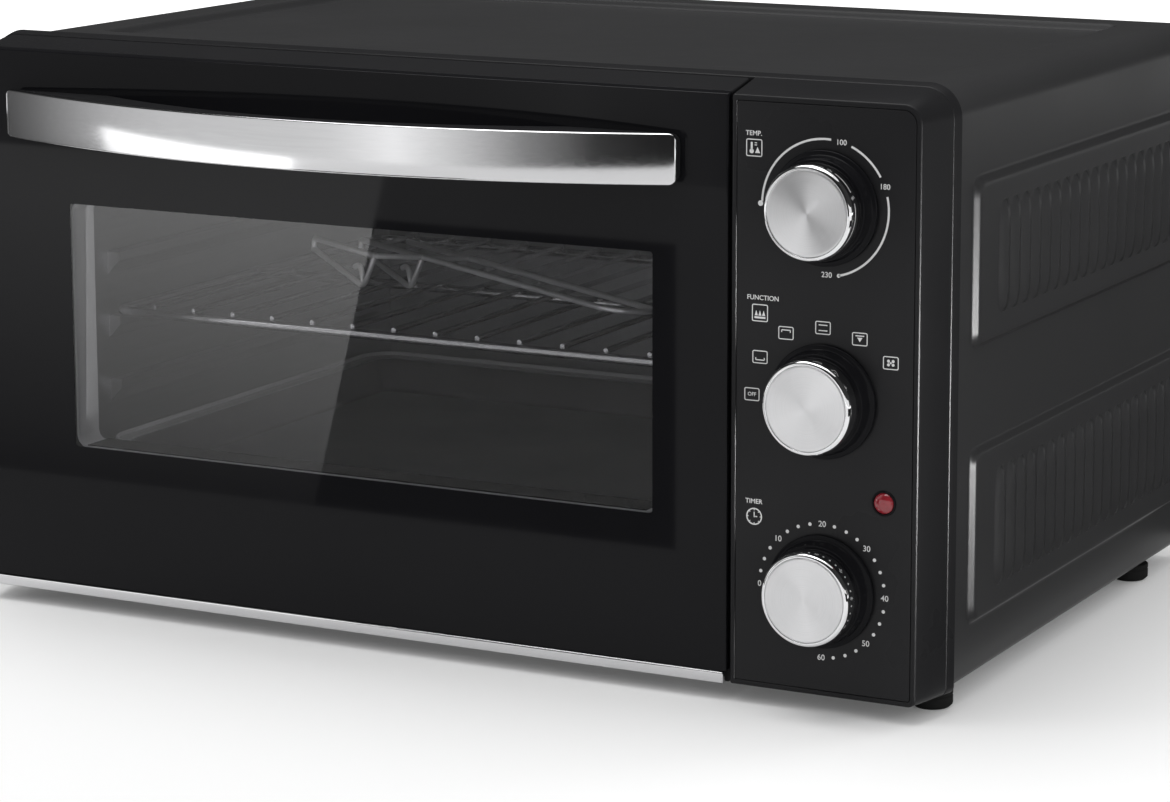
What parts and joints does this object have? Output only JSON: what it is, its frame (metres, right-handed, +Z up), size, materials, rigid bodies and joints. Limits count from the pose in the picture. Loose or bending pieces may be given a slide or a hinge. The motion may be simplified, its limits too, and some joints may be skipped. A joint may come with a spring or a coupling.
{
  "type": "convection countertop oven",
  "caption": "Countertop convection oven with a drop-down glass door, knobs, a wire rack, a baking tray and louvred sides.",
  "frame": {"origin": "on the table, under the middle of the oven's box", "axes": "+X to the oven's right as seen from its front, +Y to its back, +Z up"},
  "size_m": [0.5456, 0.4232, 0.297],
  "materials": {
    "case_paint": "satin",
    "front_moulding": "satin",
    "panel_print": "gloss",
    "door_glass": "clear, dark tinted",
    "silver_trim": "satin",
    "knob_black": "gloss",
    "knob_face": "turned",
    "bright_sheet": "satin",
    "wire_chrome": "bright",
    "tray_enamel": "gloss enamel",
    "heater_sheath": "dull",
    "hinge_steel": "satin",
    "control_plastic": "matte",
    "rubber": "matte",
    "lamp_lens": "gloss, translucent red"
  },
  "bodies": {
    "oven": {"outer_wrap": "case_paint", "rear_panel": "case_paint", "base_plate": "bright_sheet", "foot_front_left": "rubber", "foot_front_right": "rubber", "foot_back_left": "rubber", "foot_back_right": "rubber", "front_frame": "case_paint", "control_panel": "front_moulding", "panel_overlay": "panel_print", "cavity_left_wall": "bright_sheet", "cavity_right_wall": "bright_sheet", "cavity_floor": "bright_sheet", "cavity_roof": "bright_sheet", "cavity_back": "bright_sheet", "upper_heater": "heater_sheath", "lower_heater": "heater_sheath", "upper_heater_flange": "bright_sheet", "lower_heater_flange": "bright_sheet", "fan_housing": "bright_sheet", "fan_motor": "hinge_steel", "thermostat_body": "control_plastic", "function_switch_body": "control_plastic", "timer_body": "hinge_steel", "indicator_lens": "lamp_lens", "lamp_holder": "control_plastic", "left_hinge_bracket": "hinge_steel", "right_hinge_bracket": "hinge_steel", "cord_inlet": "rubber"},
    "door": {"door_frame": "front_moulding", "door_glass": "door_glass", "door_inner_panel": "bright_sheet", "door_trim_strip": "silver_trim", "handle_bar": "silver_trim", "handle_body": "front_moulding", "left_hinge_pin": "hinge_steel", "right_hinge_pin": "hinge_steel"},
    "rack": {"wire_rack": "wire_chrome", "tray_handle": "wire_chrome"},
    "tray": {"baking_tray": "tray_enamel"},
    "fan": {"fan_wheel": "bright_sheet", "fan_shaft": "hinge_steel"},
    "temp_control": {"temp_shaft": "hinge_steel", "temp_knob": "knob_black", "temp_knob_cap": "knob_face"},
    "function_control": {"function_shaft": "hinge_steel", "function_knob": "knob_black", "function_knob_cap": "knob_face"},
    "timer_control": {"timer_shaft": "hinge_steel", "timer_knob": "knob_black", "timer_knob_cap": "knob_face"}
  },
  "joints": [
    {"name": "door_hinge", "type": "hinge", "parent": "oven", "child": "door", "pos_m": [0, -0.15465, 0.0144], "axis": [1, 0, 0], "range_deg": [0, 78]},
    {"name": "rack_slide", "type": "slide", "parent": "oven", "child": "rack", "axis": [0, -1, 0], "range_m": [0, 0.034]},
    {"name": "tray_slide", "type": "slide", "parent": "oven", "child": "tray", "axis": [0, -1, 0], "range_m": [0, 0.025]},
    {"name": "temp_turn", "type": "hinge", "parent": "oven", "child": "temp_control", "pos_m": [0.2154, -0.16565, 0.2402], "axis": [0, 1, 0], "range_deg": [0, 270]},
    {"name": "function_turn", "type": "hinge", "parent": "oven", "child": "function_control", "pos_m": [0.2154, -0.16565, 0.1499], "axis": [0, 1, 0], "range_deg": [0, 150]},
    {"name": "timer_turn", "type": "hinge", "parent": "oven", "child": "timer_control", "pos_m": [0.2154, -0.16565, 0.0596], "axis": [0, 1, 0], "range_deg": [0, 270]},
    {"name": "fan_spin", "type": "hinge", "parent": "oven", "child": "fan", "pos_m": [0.16, 0.03435, 0.138], "axis": [1, 0, 0], "continuous": true}
  ]
}
